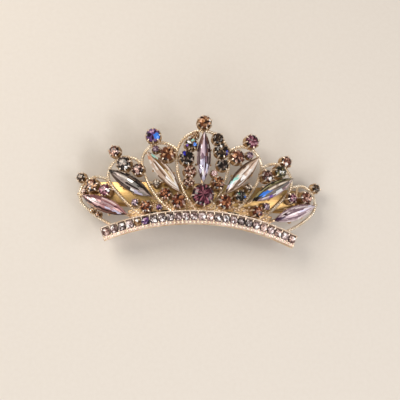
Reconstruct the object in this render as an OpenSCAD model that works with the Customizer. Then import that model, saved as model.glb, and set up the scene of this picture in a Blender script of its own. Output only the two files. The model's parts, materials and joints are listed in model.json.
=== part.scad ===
// A small jewelled crown on a hair clasp, lying on its back.
// X runs across the crown, Y from the band to the tips, Z out of the stones.
// The wires and plates are drawn in plan, x across and v up from the band's feet,
// and raised through a shell that follows the head's curve.
// The stones and their cups are drawn flat, u across and w out of the face,
// on the plane that touches the head where their petal stands.

/* [Crown] */
// Radius of the head that the crown curves round
head_r = 80; // [78:1:84]
// Height of the wires' middle above the surface that the clip lies on
face_z = 10.4; // [10.4:0.1:12]
// Width and thickness of the petal wires
wire_t = 0.8; // [0.75:0.01:0.85]

/* [Band] */
// Radius of the band's lower edge, seen from the front
band_r = 69.6; // [69.4:0.1:69.8]
// Height of the band's lower edge at the middle of the crown
band_rise = 5.2; // [5.1:0.05:5.3]
// Height of the band's face
band_h = 3.7; // [3.6:0.05:3.8]
// Half of the angle that the band spans
band_half_angle = 22.2; // [21.8:0.1:22.6]
// Depth of the band from front to back
band_depth = 2.6; // [2.4:0.1:2.8]
// Width of the stones set in the band
row_stone_d = 2.1; // [1.9:0.1:2.2]

/* [Stones] */
// Length of the long pointed stones
navette_l = 15; // [14.8:0.1:15]
// Width of the long pointed stones
navette_w = 4; // [3.8:0.1:4]
// Wall of the cups round the stones
cup_wall = 0.3; // [0.25:0.05:0.35]

/* [Clasp] */
// Width of the clasp's strip
clasp_w = 6; // [5:0.5:7]
// Thickness of the clasp's strip
clasp_t = 0.8; // [0.7:0.05:0.9]
// Length of the clasp
clasp_l = 58; // [56:1:60]
// Height of the clasp's lower edge over the band's feet
clasp_v = 10.8; // [10:0.2:12]

/* [Hidden] */
$fn = 64;
// Clearance round each stone, and under the crown where the clasp is fixed
gap = 0.05;
clasp_gap = 0.15;
// Extra reach of the plates under the stones, and of cuts past a face
plate_margin = 0.55;
reach = 1;
// Depth below and height above a round stone's widest line, as shares of its width,
// and the thickness of that line
pavilion = 0.42;
crown_share = 0.16;
girdle_t = 0.12;
// Widths of its foot and of its flat top, as shares of its width
foot_share = 0.3;
table_share = 0.56;
// Where the cups' walls start, inside the plates
cup_foot_w = 0.1;
// Rise over the band's upper edge and width of the plates that fill the petals' feet
foot_plate_rise = 0.9;
foot_plate_w = 3;
// How much shorter and narrower the seat behind a pointed stone is than the stone
seat_less_l = 3;
seat_less_w = 1;
// Room that the cups' walls leave round a pointed stone, along it and across it
room_l = 0.6;
room_w = 0.3;
// Depth of the groove for the row of stones, how far its middle lies over the band's,
// and the angle that it leaves at each end of the band
row_depth = 1.1;
row_lift = 0.1;
row_end_angle = 0.4;
// Angle that the row leaves at each end of its groove, and how far it stands over the band's face
row_end_gap = 0.1;
row_proud = 0.1;
// Height over the wires' middle to which the plan is raised, and length of the shell that cuts it
raise_h = 6;
shell_l = 80;
// Height of the band's own centre, and of the middle of the whole outline
band_v = band_rise - band_r;
band_foot_v = band_r * cos(band_half_angle) + band_v;
// Radius of the row's middle line, and heights of the groove's floor and of the band's face
row_middle_r = band_r + band_h / 2 + row_lift;
band_face_w = band_depth - wire_t / 2;
row_floor_w = band_face_w - row_depth;

// Petals of the right half: centre of the top arc, its radius and far end, how far it leans,
// radius of the outer side arc and how far it swings down into the band,
// and where the plate over the band starts and ends, in degrees
// name, x, v, top_r, top_end, lean, side_r, swing, base_start, base_end
PETALS = [
    ["centre", 0, 24.3, 7.4, 90, 0, 23, 43, 0, 2.4],
    ["first", 11.45, 22.4, 5.45, 139, 14, 22, 46, 2.1, 8.4],
    ["second", 21.1, 18.8, 5, 139, 37, 42, 18, 8.1, 13.4],
    ["third", 29, 13.4, 4.8, 139, 46, 28, 20, 13.1, 15.5],
];

// Long pointed stones of the right half, one to a petal: centre, lean from upright,
// and how far the rib behind each one reaches outwards and inwards
// petal, u, v, lean, rib_out, rib_in
NAVETTES = [
    [0, 0, 23.9, 0, 7.9, 7.9],
    [1, 10.8, 19.4, 41, 7.9, 7.9],
    [2, 19.7, 16.0, 59, 7.9, 7.9],
    [3, 26.6, 9.9, 68, 8.9, 7.9],
];

// Round stones in their cups, left half with u below zero
// name, petal, u, v, diameter, colour
ROUNDS = [
    ["heart_stone", 0, 0, 13.1, 6.0, "#4a2030"],
    ["tip_centre", 0, 0, 33.8, 3.7, "#a06a3c"],
    ["tip_left_1", 1, -14.0, 29.5, 3.9, "#6a5a9a"],
    ["tip_right_1", 1, 13.5, 29.3, 3.7, "#6a3a50"],
    ["tip_left_2", 2, -24.7, 25.1, 3.0, "#a87858"],
    ["tip_right_2", 2, 24.1, 24.5, 3.0, "#b08a70"],
    ["tip_left_3", 3, -34.2, 17.9, 2.4, "#7a766a"],
    ["tip_right_3", 3, 34.2, 17.9, 2.4, "#6a665c"],
    ["centre_left_1", 0, -3.6, 27.4, 3.3, "#8a98b8"],
    ["centre_left_2", 0, -4.7, 23.5, 3.9, "#3a3844"],
    ["centre_left_3", 0, -3.7, 19.8, 3.3, "#b89078"],
    ["centre_left_4", 0, -3.9, 16.6, 2.8, "#b08468"],
    ["centre_right_1", 0, 3.9, 29.4, 3.0, "#4a4844"],
    ["centre_right_2", 0, 5.0, 26.0, 3.9, "#5a5a5c"],
    ["centre_right_3", 0, 5.4, 22.0, 3.2, "#45423e"],
    ["centre_right_4", 0, 4.2, 16.8, 3.5, "#a87850"],
    ["first_left_upper", 1, -9.8, 24.4, 4.1, "#7a4c20"],
    ["first_right_upper", 1, 9.4, 24.5, 3.8, "#a06a4c"],
    ["first_left_lower", 1, -10.1, 13.2, 3.1, "#6a3c2c"],
    ["first_right_lower", 1, 10.5, 13.6, 3.1, "#2e2a38"],
    ["first_left_base", 1, -6.3, 11.3, 3.9, "#74401f"],
    ["first_right_base", 1, 6.1, 11.6, 3.9, "#7c4a24"],
    ["second_left_outer", 2, -21.8, 21.5, 3.9, "#3e3c3c"],
    ["second_right_outer", 2, 22.2, 21.4, 3.5, "#4c4a46"],
    ["second_left_upper", 2, -17.8, 19.9, 3.2, "#8c6a58"],
    ["second_right_upper", 2, 18.1, 19.8, 3.4, "#8a7078"],
    ["second_left_base", 2, -15.1, 9.5, 3.1, "#7a4824"],
    ["second_right_base", 2, 15.3, 9.4, 3.1, "#7c3c30"],
    ["third_left_outer", 3, -30.7, 15.5, 3.5, "#8c5a3c"],
    ["third_right_outer", 3, 30.6, 14.7, 3.5, "#b08468"],
    ["third_left_upper", 3, -26.8, 14.1, 3.3, "#6c4458"],
    ["third_right_upper", 3, 26.0, 14.2, 2.8, "#6c4c6a"],
];

// Small round stones, all in one node
// petal, u, v, diameter
SMALL_ROUNDS = [
    [0, -2.4, 30.2, 2.0],
    [1, -13.2, 25.8, 2.0],
    [1, 13.1, 25.4, 2.0],
    [1, -12.7, 16.2, 2.0],
    [1, 13.0, 16.2, 2.0],
    [2, -18.3, 10.7, 2.0],
    [2, 18.2, 11.2, 2.0],
    [1, -11.7, 9.5, 1.7],
    [0, 3.1, 19.5, 1.8],
    [3, -33.1, 14.0, 1.7],
    [3, -30.5, 8.5, 1.5],
    [3, -28.7, 7.4, 1.5],
];

// Short bars that join a cup to its wire
// petal, u1, v1, u2, v2
LINKS = [
    [0, -4.7, 23.5, -7.3, 23.5],
    [0, 5, 26, 7.1, 26],
    [0, -3.9, 16.6, -6.2, 16.6],
    [0, 4.2, 16.8, 6.3, 16.8],
    [1, -12.7, 16.2, -15, 16.6],
    [1, 13, 16.2, 15, 16.6],
    [1, -10.1, 13.2, -12.7, 13.6],
    [1, 10.5, 13.6, 12.7, 13.6],
    [3, -33.1, 14.0, -35, 14.0],
    [3, 28.3, 14.6, 28.6, 18.1],
];

// What the two halves share
all_stones = concat(
    [for (s = ROUNDS) [s[1], s[2], s[3], s[4]]],
    SMALL_ROUNDS
);
tip_top_v = ROUNDS[1][3] + ROUNDS[1][4] / 2 + plate_margin;
middle_v = (band_foot_v + tip_top_v) / 2;

// Sides that each petal has: the centre one has a single place
function sides(petal) = petal == 0 ? [1] : [-1, 1];
function side_name(side) = side < 0 ? "_left" : "_right";
function side_of(u) = u < 0 ? -1 : 1;
function navette_name(n, side) = str("navette_", PETALS[n[0]][0], n[0] == 0 ? "" : side_name(side));

// Tilt of the plane that touches the head at a petal, and that petal's place along the curve
function tilt(petal) = asin(PETALS[petal][1] / head_r);
function curve_u(petal) = tilt(petal) * PI * head_r / 180;

// Where a point of a petal's plane lies in plan, and the lean of a line there
function plan_x(petal, u) =
    side_of(u) * (PETALS[petal][1] + (abs(u) - curve_u(petal)) * cos(tilt(petal)));
function plan_lean(petal, lean) = atan(cos(tilt(petal)) * tan(lean));

NAVETTE_NAMES = [for (n = NAVETTES) for (side = sides(n[0])) navette_name(n, side)];
ROUND_NAMES = [for (s = ROUNDS) s[0]];

gold = "#d8b878";
steel_gold = "#c8a462";

// A drawing in u, v and w on the plane of a petal, on the left or the right
module on_petal(petal, side)
    translate([0, -middle_v, face_z - head_r])
        rotate([0, side * tilt(petal), 0])
            translate([-side * curve_u(petal), 0, head_r])
                children();

// A fan-shaped plane figure between two angles
module fan(r, from, to) {
    steps = 8;
    polygon(concat(
        [[0, 0]],
        [for (i = [0 : steps]) let (a = from + (to - from) * i / steps) r * [cos(a), sin(a)]]
    ));
}

// A piece of flat ring, in plan
module ring_arc(r, width, from, to)
    intersection() {
        difference() {
            circle(r + width / 2);
            circle(r - width / 2);
        }
        fan(2 * r, from, to);
    }

// The plan of the band, grown or shrunk at its edges
module band_plan(inner, outer, half_angle)
    translate([0, band_v])
        ring_arc((inner + outer) / 2, outer - inner, 90 - half_angle, 90 + half_angle);

// Points along one petal's wire, at a distance beside its middle line:
// down the side arc's swing, then round the top arc, which meet smoothly
function wire_side(p, beside) =
    let (
        top = [p[1], p[2]],
        top_r = p[3],
        top_end = p[4],
        lean = p[5],
        side_r = p[6],
        swing = p[7],
        side_middle = top + (side_r - top_r) * [-cos(lean), sin(lean)],
        steps = 8
    )
    concat(
        [for (i = [0 : steps - 1])
            let (a = -lean - swing * (1 - i / steps))
            side_middle + (side_r + beside) * [cos(a), sin(a)]],
        [for (i = [0 : 2 * steps])
            let (a = -lean + (top_end + lean) * i / (2 * steps))
            top + (top_r + beside) * [cos(a), sin(a)]]
    );

// The wire of one petal of the right half
module petal_wires_plan(p) {
    inner = wire_side(p, -wire_t / 2);
    last = len(inner) - 1;
    polygon(concat(
        wire_side(p, wire_t / 2),
        [for (i = [last : -1 : 0]) inner[i]]
    ));
}

// The plate that fills the foot of a petal, just over the band
module petal_base_plan(p)
    translate([0, band_v])
        ring_arc(band_r + band_h + foot_plate_rise, foot_plate_w, 90 - p[9], 90 - p[8]);

// A stone's outline with two points, as two arcs
module navette_plan(l, w) {
    r = (l * l + w * w) / (4 * w);
    intersection() {
        translate([r - w / 2, 0]) circle(r);
        translate([w / 2 - r, 0]) circle(r);
    }
}

// The rib and the plate behind a pointed stone
module navette_seat_plan(n)
    translate([plan_x(n[0], n[1]), n[2]])
        rotate(-plan_lean(n[0], n[3])) {
            navette_plan(navette_l - seat_less_l, navette_w - seat_less_w);
            translate([-wire_t / 2, -n[5]]) square([wire_t, n[4] + n[5]]);
        }

// A bar between two points
module link_plan(l) {
    from = [plan_x(l[0], l[1]), l[2]];
    d = [plan_x(l[0], l[3]), l[4]] - from;
    translate(from)
        rotate(atan2(d[1], d[0]))
            translate([0, -wire_t / 2]) square([norm(d), wire_t]);
}

// Stones of one petal on one side
function stones_of(petal, side) =
    [for (s = all_stones) if (s[0] == petal && (petal == 0 || side_of(s[1]) == side)) s];

// Height of a round stone's widest line over the wires' middle
function girdle_w(d) = wire_t / 2 + gap + pavilion * d;

// Each figure of the plan raised by itself, through the whole height of the crown
module raised()
    translate([0, -middle_v, 0])
        linear_extrude(face_z + raise_h)
            children();

// Wires, seats, plates under the cups, bars and the petals' feet, as upright prisms
module crown_prisms() {
    for (m = [0, 1])
        mirror([m, 0, 0]) {
            for (p = PETALS) {
                raised() petal_wires_plan(p);
                raised() petal_base_plan(p);
            }
            for (n = NAVETTES)
                raised() navette_seat_plan(n);
        }
    for (s = all_stones)
        raised() translate([plan_x(s[0], s[1]), s[2]]) circle(s[3] / 2 + plate_margin);
    for (l = LINKS)
        raised() link_plan(l);
}

// The walls of one petal's cups, cut back where a neighbour's stone stands
module petal_cups(petal, side) {
    n = NAVETTES[petal];
    for (s = stones_of(petal, side))
        translate([0, 0, cup_foot_w])
            linear_extrude(girdle_w(s[3]) - cup_foot_w)
                difference() {
                    translate([s[1], s[2]]) circle(s[3] / 2 + gap + cup_wall);
                    for (o = stones_of(petal, side))
                        translate([o[1], o[2]]) circle(o[3] / 2 + gap);
                    mirror([side < 0 ? 1 : 0, 0])
                        translate([n[1], n[2]])
                            rotate(-n[3])
                                navette_plan(navette_l + room_l, navette_w + room_w);
                }
}

// A shell of the head's curve between two heights over the wires' middle
module head_shell(low, high)
    translate([0, 0, face_z - head_r])
        rotate([90, 0, 0])
            difference() {
                cylinder(h = shell_l, r = head_r + high, center = true, $fn = 128);
                cylinder(h = shell_l + reach, r = head_r + low, center = true, $fn = 128);
            }

// A piece of the band's plan raised through the head's curve
module band_piece(inner, outer, half_angle, low, high)
    intersection() {
        raised() band_plan(inner, outer, half_angle);
        head_shell(low, high);
    }

// The band with its groove for the row of stones
module band()
    difference() {
        band_piece(band_r, band_r + band_h, band_half_angle, -wire_t / 2, band_face_w);
        band_piece(row_middle_r - row_stone_d / 2, row_middle_r + row_stone_d / 2,
            band_half_angle - row_end_angle, row_floor_w, band_face_w + reach);
    }

// The wires and plates of the whole crown, on the head's curve
module crown_shell()
    intersection() {
        union() crown_prisms();
        head_shell(-wire_t / 2, wire_t / 2);
    }

// The soldered metal: seven petals with their cups, and the band that they stand on
module crown_frame()
    color(gold)
        union() {
            band();
            crown_shell();
            for (petal = [0 : len(PETALS) - 1])
                for (side = sides(petal))
                    on_petal(petal, side) petal_cups(petal, side);
        }

// The paved row of small stones, as one strip in the band's groove
module band_stones()
    color("#b8a4a8")
        band_piece(row_middle_r - row_stone_d / 2 + gap, row_middle_r + row_stone_d / 2 - gap,
            band_half_angle - row_end_angle - row_end_gap, row_floor_w + gap, band_face_w + row_proud);

// A round stone: a cone below its widest line, and a flat-topped cone above
module round_stone(d) {
    r = d / 2;
    translate([0, 0, girdle_w(d) - pavilion * d]) cylinder(h = pavilion * d, r1 = foot_share * r, r2 = r);
    translate([0, 0, girdle_w(d)]) cylinder(h = girdle_t, r = r);
    translate([0, 0, girdle_w(d) + girdle_t]) cylinder(h = crown_share * d, r1 = r, r2 = table_share * r);
}

// The outline of a pointed stone as points, from one tip round to the other and back
function navette_points(l, w, z) =
    let (
        r = (l * l + w * w) / (4 * w),
        half = asin(l / 2 / r),
        steps = 10
    )
    [for (side = [1, -1]) for (i = [0 : steps - 1])
        let (a = side * (-half + 2 * half * i / steps))
        [side * (r * cos(a) - r + w / 2), side * r * sin(side * a), z]];

// A pointed stone: four outlines one over the other, closed at both ends
module navette_stone() {
    low = wire_t / 2 + gap;
    // share of the length, share of the width, height
    levels = [
        [0.62, 0.25, low],
        [1, 1, low + 1.5],
        [1, 1, low + 1.65],
        [0.74, 0.5, low + 2.6],
    ];
    rings = [for (k = levels) navette_points(navette_l * k[0], navette_w * k[1], k[2])];
    n = len(rings[0]);
    last = len(rings) - 1;
    sides = [for (k = [0 : last - 1]) for (i = [0 : n - 1])
        let (a = k * n + i, b = k * n + (i + 1) % n)
        each [[a, a + n, b + n], [a, b + n, b]]];
    polyhedron(
        points = [for (ring = rings) for (p = ring) p],
        faces = concat(
            sides,
            [[for (i = [0 : n - 1]) i]],
            [[for (i = [n - 1 : -1 : 0]) last * n + i]]
        )
    );
}

// The pointed stone of one petal, on the left or the right
module navette(n, side)
    color(["#b8a8b8", "#c8b49c", "#8a8480", "#b89cb0"][n[0]])
        on_petal(n[0], side)
            mirror([side < 0 ? 1 : 0, 0, 0])
                translate([n[1], n[2], 0])
                    rotate(-n[3]) navette_stone();

// A round stone in its own node
module round_jewel(s)
    color(s[5])
        on_petal(s[1], side_of(s[2]))
            translate([s[2], s[3], 0]) round_stone(s[4]);

// Round stones too small to be apart
module small_stones()
    color("#b8a0b0")
        for (s = SMALL_ROUNDS)
            on_petal(s[0], side_of(s[1]))
                translate([s[1], s[2], 0]) round_stone(s[3]);

// The clasp's side view, x across and y out of the face: a strip on the head's curve, folded back
// at the left into a flat tongue, whose hook lies over the lip of the catch at the right
module clasp_profile() {
    top_r = head_r - wire_t / 2 - clasp_gap;
    mid_r = top_r - clasp_t / 2;
    half = clasp_l / 2;
    end_angle = asin(half / mid_r);
    end_y = face_z - head_r + mid_r * cos(end_angle);
    fold_r = (end_y - clasp_t / 2) / 2;
    lip_y = 1.5;
    lip_l = 1.8;
    lip_t = 0.6;
    hook_gap = 0.4;
    hook_l = 2.4;
    hook_back = 2.9;
    hook_x = half - hook_back;
    hook_y = lip_y + lip_t + hook_gap;
    translate([0, face_z - head_r])
        ring_arc(mid_r, clasp_t, 90 - end_angle, 90 + end_angle);
    translate([-half, end_y - fold_r])
        ring_arc(fold_r, clasp_t, 90, 270);
    translate([-half, 0]) square([hook_x + half, clasp_t]);
    translate([half - clasp_t / 2, lip_y]) square([clasp_t, end_y - lip_y]);
    translate([half - lip_l, lip_y]) square([lip_l, lip_t]);
    translate([hook_x - lip_t, 0]) square([lip_t, hook_y + lip_t]);
    translate([hook_x - lip_t, hook_y]) square([hook_l, lip_t]);
}

// The clasp under the crown, one bent strip
module clasp()
    color(steel_gold)
        translate([0, clasp_v - middle_v + clasp_w, 0])
            rotate([90, 0, 0])
                linear_extrude(clasp_w) clasp_profile();

crown_frame();
band_stones();
small_stones();
clasp();
for (n = NAVETTES)
    for (side = sides(n[0]))
        navette(n, side);
for (s = ROUNDS)
    round_jewel(s);
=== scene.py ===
"""The looks of a small jewelled crown on a hair clasp, lying on its clasp on a pale floor.

Shapes are worked out in millimetres and put into the meshes in metres.
x runs across the crown, v up from the band's feet, and w out of the wires' middle, square to the head.
u runs across the plane that touches the head at a petal.
"""

import json

import bpy
import numpy as np
from mathutils import Matrix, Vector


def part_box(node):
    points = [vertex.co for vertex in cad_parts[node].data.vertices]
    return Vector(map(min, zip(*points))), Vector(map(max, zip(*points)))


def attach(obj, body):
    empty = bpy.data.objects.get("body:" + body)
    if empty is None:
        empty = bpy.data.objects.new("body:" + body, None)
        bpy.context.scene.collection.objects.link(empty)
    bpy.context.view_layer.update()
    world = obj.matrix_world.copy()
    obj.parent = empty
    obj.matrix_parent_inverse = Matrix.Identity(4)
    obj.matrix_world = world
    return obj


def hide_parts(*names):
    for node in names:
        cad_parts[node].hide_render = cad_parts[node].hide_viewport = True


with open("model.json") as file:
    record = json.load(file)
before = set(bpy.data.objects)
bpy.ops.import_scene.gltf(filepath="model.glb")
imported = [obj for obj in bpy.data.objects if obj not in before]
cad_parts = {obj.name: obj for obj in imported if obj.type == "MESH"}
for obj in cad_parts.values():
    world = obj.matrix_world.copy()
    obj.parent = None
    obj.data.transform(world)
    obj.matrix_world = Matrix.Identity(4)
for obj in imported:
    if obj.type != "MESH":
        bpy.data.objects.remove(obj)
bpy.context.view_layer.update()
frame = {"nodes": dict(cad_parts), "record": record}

# One millimetre in metres
MM = 0.001

# The head that the crown curves round, and the height of the wires' middle over the floor
HEAD_R = 80.0
FACE_Z = 10.4

# The petals' ropes: width over both strands, length of one twist, and how far they go into the band
ROPE_W = 1.0
ROPE_PITCH = 1.35
WIRE_SUNK = 0.6

# Plain wire: thickness of the ribs, and radius of the bars
WIRE_T = 0.8
BAR_R = 0.36

# The band's arc: inner radius, height, outer radius, half of its angle in degrees, and v of its centre
BAND_R = 69.6
BAND_H = 3.7
BAND_TOP = BAND_R + BAND_H
BAND_HALF_ANGLE = 22.2
BAND_V = 5.2 - BAND_R

# The band's section: height of its face, radius of its beads, and the groove with the ledge above it
BAND_FACE = 2.2
BEAD_R = 0.44
ROW_R = BAND_R + BAND_H / 2 + 0.1
ROW_LOW = ROW_R - 1.05
ROW_HIGH = ROW_R + 1.05
ROW_FLOOR = 1.1
LEDGE = BAND_TOP - 0.36

# The band's stones: width, and distance from one to the next
ROW_STONE = 2.08
ROW_PITCH = 2.2

# Height of a stone's seat over the wires' middle, and of a round stone's girdle
SEAT = 0.45
GIRDLE = 0.12

# Height of a round stone's foot and of its crown, in shares of its width
PAVILION = 0.42
CROWN = 0.16

# Long stones: length, width, points round the outline, and how far the rib behind reaches to the foot
NAVETTE_L = 15.0
NAVETTE_W = 4.0
NAVETTE_AROUND = 24
RIB_FOOT = 7.9

# Claws of a long stone: place along in shares of its half length, and the side, which is 0 at a point
NAVETTE_CLAWS = ((-1, 0), (1, 0), (-0.28, 1), (-0.28, -1), (0.28, 1), (0.28, -1))

# Such a claw's middle line, out of the plate and over the stone: distance inwards from the edge, height
CLAW_CLIMB = ((0.8, 0), (-0.1, 0.45), (-0.15, 1.2), (0.12, 1.85), (0.75, 2.25))

# A facet's number from 0 to 1 picks its tone: where body starts, where light starts, and width of each blend
BODY_FROM = 0.25
LIGHT_FROM = 0.72
BLEND = 0.16

# Lanes of a long stone: stretches of one tone, share of each facet's own chance, and the contrast
STRETCHES = 3
OWN_CHANCE = 0.18
STREAK_CONTRAST = 1.5

# The clasp: thickness, gap under the wires, half length, rounding of its edges, and height of its catch
CLASP_T = 0.8
CLASP_GAP = 0.15
CLASP_HALF = 29.0
CLASP_EDGE = 0.22
CATCH_Z = 1.75

# The plates at the petals' feet: their ends in degrees, upper and lower radius, lower radius of the bar over
# a slot, and the slots' ends in degrees
FEET_END = 15.5
FEET_TOP = BAND_TOP + 2.4
FEET_LOW = FEET_TOP - 3.0
SLOT_BAR = FEET_TOP - 1.75
SLOTS = ((-11.3, -9.7), (-8.7, -6.7), (5.6, 8.2), (9.8, 11.2))

# Gold grains there: how many places are tried, least and greatest radius, least gap to a stone, the greatest
# one where no plate carries them, and how deep two may touch
GRAIN_TRIES = 2600
GRAIN_MIN = 0.2
GRAIN_MAX = 0.44
GRAIN_CLEAR = 0.2
GRAIN_REACH = 0.5
GRAIN_OVERLAP = 0.05

# Each petal's wire on the right half: centre of the top arc, its radius and far end, how far the petal leans,
# radius of the outer side arc and the angle that it swings down
# x, v, top_r, top_end, lean, side_r, swing
PETALS = {
    "centre": (0, 24.3, 7.4, 90, 0, 23, 43),
    "first": (11.45, 22.4, 5.45, 139, 14, 22, 46),
    "second": (21.1, 18.8, 5.0, 139, 37, 42, 18),
    "third": (29.0, 13.4, 4.8, 139, 46, 28, 20),
}

# Short bars that join a cup to its wire, on the petal's own plane
# petal, u1, v1, u2, v2
BARS = (
    ("centre", -4.7, 23.5, -7.3, 23.5),
    ("centre", 5.0, 26.0, 7.1, 26.0),
    ("centre", -3.9, 16.6, -6.2, 16.6),
    ("centre", 4.2, 16.8, 6.3, 16.8),
    ("first", -12.7, 16.2, -15, 16.6),
    ("first", 13, 16.2, 15, 16.6),
    ("first", -10.1, 13.2, -12.7, 13.6),
    ("first", 10.5, 13.6, 12.7, 13.6),
    ("third", -33.1, 14.0, -35, 14.0),
    ("third", 28.3, 14.6, 28.6, 18.1),
)

# The glass colours of each: the tone of facets painted dark as shade, the body tone, and the tone of facets
# painted light as reflected light
TONES = {
    "amethyst": ("#1a060e", "#4e1c2c", "#a0606e"),
    "plum": ("#260c14", "#622a3c", "#c48e9c"),
    "violet": ("#221028", "#66467a", "#cfa6c6"),
    "topaz": ("#2a1208", "#6c3c20", "#d2a47c"),
    "cognac": ("#260e06", "#663018", "#bc7c58"),
    "peach": ("#38201a", "#80543f", "#ecd0bc"),
    "rose_brown": ("#28120c", "#683a2c", "#d8a892"),
    "smoke": ("#120b06", "#3c2a1c", "#967e66"),
    "black_diamond": ("#0b0705", "#2a1e18", "#86746a"),
    "ink": ("#080707", "#2a2420", "#7c7674"),
    "lilac": ("#30202a", "#86697a", "#e4cedb"),
    "clear": ("#261c18", "#7c6858", "#f6e8d6"),
    "slate": ("#2c2220", "#5e4e48", "#b4a49e"),
    "dusk": ("#34282a", "#705a5c", "#d8c6c8"),
    "mauve": ("#26120e", "#5c3a32", "#c49c92"),
    "champagne": ("#553621", "#a8815a", "#efd8b4"),
    "sand": ("#4e382a", "#ae927a", "#f6e6d2"),
    "pearl": ("#7a5e4a", "#d2b6a2", "#fff6ee"),
    "mist": ("#8a707c", "#bca4ac", "#f6eaec"),
    "olive": ("#15120a", "#40391f", "#a09870"),
    "cream": ("#7a5a38", "#d0b28a", "#fff4dc"),
    "pink": ("#825458", "#c69496", "#fbe6e4"),
    "row_lilac": ("#5c4644", "#b89e9c", "#f8eaea"),
    "row_rose": ("#5e4440", "#ba988e", "#f8e2da"),
    "row_smoke": ("#34292a", "#80706e", "#eadedc"),
}

# Colours of single facets: the film's colours on a stone, painted glints and reflections of the lamps (white,
# ice, silver), and painted shade on dark facets (shade, ebony, umber)
FLASHES = {
    "sky_blue": "#3f86f0",
    "deep_blue": "#1b1ba8",
    "teal": "#a6e6dc",
    "mint": "#cfe8d8",
    "coral": "#dca082",
    "copper": "#b47c50",
    "white": "#ffffff",
    "rose": "#8a4a60",
    "violet": "#8a62c8",
    "aubergine": "#3e2444",
    "green": "#4a7a5a",
    "silver": "#938b84",
    "ice": "#d3d0ea",
    "wine": "#5a2438",
    "shade": "#3c262a",
    "umber": "#6e4a42",
    "ebony": "#15110f",
}

# Round stones: petal, tone, turn of the cut in degrees, and flashes
# A flash is angle, share of the radius, spread, colour
ROUND_STONES = {
    "heart_stone": ("centre", "amethyst", 7, (
        (-55, 0.75, 0.16, "rose"), (15, 0.85, 0.1, "white"))),
    "tip_centre": ("centre", "topaz", 20, ((170, 0.5, 0.3, "copper"), (20, 0.7, 0.2, "white"))),
    "tip_left_1": ("first", "violet", 3, ((-15, 0.6, 0.36, "sky_blue"), (60, 0.8, 0.2, "coral"))),
    "tip_right_1": ("first", "plum", 12, ((150, 0.4, 0.15, "silver"),)),
    "tip_left_2": ("second", "rose_brown", 9, ()),
    "tip_right_2": ("second", "rose_brown", 30, ((-120, 0.6, 0.3, "white"),)),
    "tip_left_3": ("third", "smoke", 17, ((30, 0.6, 0.2, "silver"),)),
    "tip_right_3": ("third", "smoke", 2, ()),
    "centre_left_1": ("centre", "smoke", 25, (
        (-15, 0.65, 0.34, "sky_blue"), (75, 0.6, 0.24, "teal"), (200, 0.7, 0.2, "violet"),
        (150, 0.4, 0.2, "white"))),
    "centre_left_2": ("centre", "black_diamond", 14, ((135, 0.6, 0.3, "deep_blue"),)),
    "centre_left_3": ("centre", "peach", 5, ()),
    "centre_left_4": ("centre", "peach", 31, ()),
    "centre_right_1": ("centre", "smoke", 8, ()),
    "centre_right_2": ("centre", "smoke", 19, ((-25, 0.9, 0.3, "deep_blue"), (100, 0.6, 0.15, "white"))),
    "centre_right_3": ("centre", "black_diamond", 23, ()),
    "centre_right_4": ("centre", "topaz", 11, ((120, 0.7, 0.25, "copper"), (100, 0.95, 0.15, "white"))),
    "first_left_upper": ("first", "topaz", 6, ()),
    "first_right_upper": ("first", "rose_brown", 28, ((160, 0.6, 0.25, "copper"),)),
    "first_left_lower": ("first", "cognac", 15, ()),
    "first_right_lower": ("first", "ink", 21, ((-5, 0.8, 0.25, "sky_blue"), (140, 0.6, 0.2, "green"))),
    "first_left_base": ("first", "cognac", 10, ((60, 0.7, 0.2, "copper"),)),
    "first_right_base": ("first", "cognac", 33, ((-120, 0.5, 0.2, "copper"),)),
    "second_left_outer": ("second", "black_diamond", 18, (
        (120, 0.25, 0.28, "silver"), (-60, 0.75, 0.15, "white"))),
    "second_right_outer": ("second", "olive", 1, ((-20, 0.3, 0.2, "white"), (200, 0.3, 0.16, "white"))),
    "second_left_upper": ("second", "mauve", 26, ()),
    "second_right_upper": ("second", "mauve", 13, ((-60, 0.6, 0.2, "white"),)),
    "second_left_base": ("second", "cognac", 22, ((90, 0.6, 0.2, "copper"),)),
    "second_right_base": ("second", "cognac", 4, ((-45, 0.7, 0.2, "wine"),)),
    "third_left_outer": ("third", "topaz", 29, ((-90, 0.6, 0.16, "white"),)),
    "third_right_outer": ("third", "rose_brown", 16, ()),
    "third_left_upper": ("third", "plum", 24, ((0, 0.7, 0.2, "white"),)),
    "third_right_upper": ("third", "plum", 27, ()),
}

# Small round stones: petal, u, v, diameter, tone
SMALL_STONES = (
    ("centre", -2.4, 30.2, 2.0, "champagne"),
    ("first", -13.2, 25.8, 2.0, "lilac"),
    ("first", 13.1, 25.4, 2.0, "lilac"),
    ("first", -12.7, 16.2, 2.0, "clear"),
    ("first", 13.0, 16.2, 2.0, "clear"),
    ("second", -18.3, 10.7, 2.0, "lilac"),
    ("second", 18.2, 11.2, 2.0, "lilac"),
    ("first", -11.7, 9.5, 1.7, "violet"),
    ("centre", 3.1, 19.5, 1.8, "pink"),
    ("third", -33.1, 14.0, 1.7, "peach"),
    ("third", -30.5, 8.5, 1.5, "champagne"),
    ("third", -28.7, 7.4, 1.5, "topaz"),
)

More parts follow.
